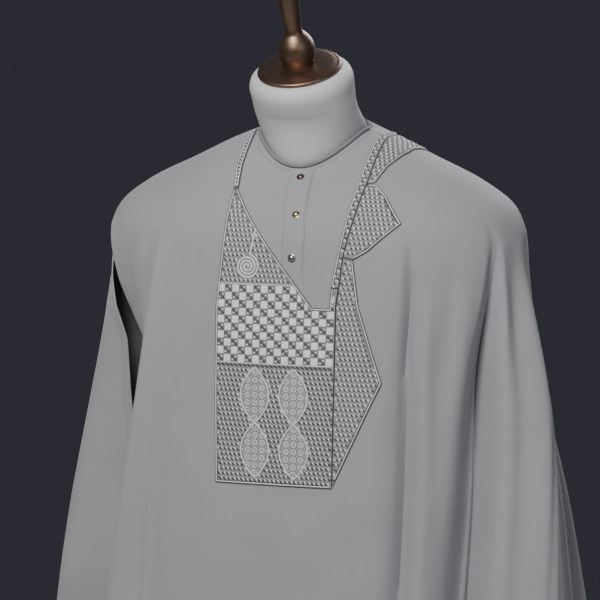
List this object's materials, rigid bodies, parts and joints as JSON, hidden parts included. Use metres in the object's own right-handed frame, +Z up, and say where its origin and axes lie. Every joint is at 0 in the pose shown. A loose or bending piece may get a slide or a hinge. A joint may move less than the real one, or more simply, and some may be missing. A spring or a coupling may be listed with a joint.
{
  "type": "grand boubou robe on a limbless dress form",
  "caption": "Wide ankle-length grey robe with a V opening, embroidered chest panels and open sides, hanging on a white limbless dress form on a stand.",
  "frame": {"origin": "centre of the stand base's underside, on the floor", "axes": "+Z up, the robe's front faces -Y, +X is the wearer's left"},
  "size_m": [0.8821, 0.5055, 1.69],
  "materials": {
    "grey_cloth": "matt, smooth woven suiting",
    "bound_edge": "matt bound edge",
    "embroidery": "dense machine embroidery in grey and white thread",
    "stud_metal": "polished small studs",
    "white_form": "smooth matt white",
    "bronze": "satin bronze brown",
    "dark_stand": "satin dark"
  },
  "bodies": {
    "root": {"robe_front": "grey_cloth", "robe_back": "grey_cloth", "inset_front": "grey_cloth", "placket": "grey_cloth", "neck_binding": "bound_edge", "bib_block": "embroidery", "bib_side": "embroidery", "strip_left": "embroidery", "strip_right": "embroidery", "shoulder_piece": "embroidery", "lapel": "embroidery", "stud_1": "stud_metal", "stud_2": "stud_metal", "stud_3": "stud_metal", "form_body": "white_form", "neck_cap": "bronze", "finial": "bronze", "stand_pole": "dark_stand", "stand_base": "dark_stand"}
  },
  "joints": []
}
